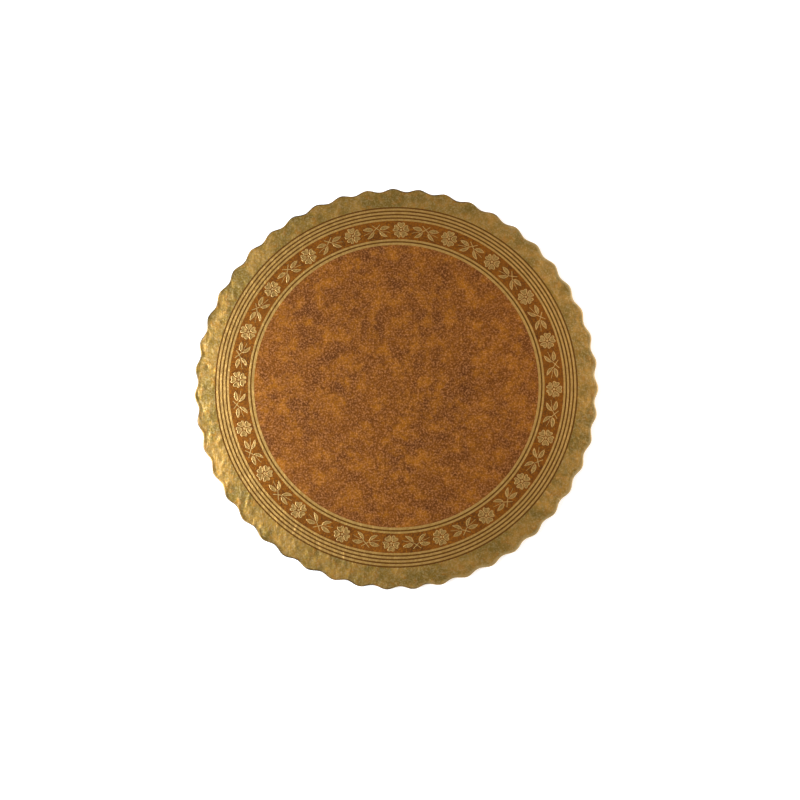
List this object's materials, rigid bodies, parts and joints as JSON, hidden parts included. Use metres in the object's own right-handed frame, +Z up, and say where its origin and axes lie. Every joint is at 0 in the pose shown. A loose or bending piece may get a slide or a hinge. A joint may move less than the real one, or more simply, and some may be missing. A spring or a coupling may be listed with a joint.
{
  "type": "cake board",
  "caption": "Round scalloped cake board: printed gold foil wrapped over a double-wall corrugated core, with a white paper disc glued beneath. Flat and free-standing.",
  "frame": {"origin": "middle of the underside, on the table", "axes": "+Z up through the middle of the board; +X and +Y in its plane, the flutes run along Y"},
  "size_m": [0.3022, 0.3022, 0.0067],
  "materials": {
    "gold_foil": "gold metallised foil paper with a brown print, satin, softly creased",
    "kraft_liner": "plain kraft board, matt",
    "kraft_fluting": "plain kraft fluting, matt",
    "white_paper": "uncoated white paper, matt"
  },
  "bodies": {
    "root": {"foil_wrap": "gold_foil", "top_liner": "kraft_liner", "upper_flute": "kraft_fluting", "middle_liner": "kraft_liner", "lower_flute": "kraft_fluting", "bottom_liner": "kraft_liner", "base_paper": "white_paper"}
  },
  "joints": []
}
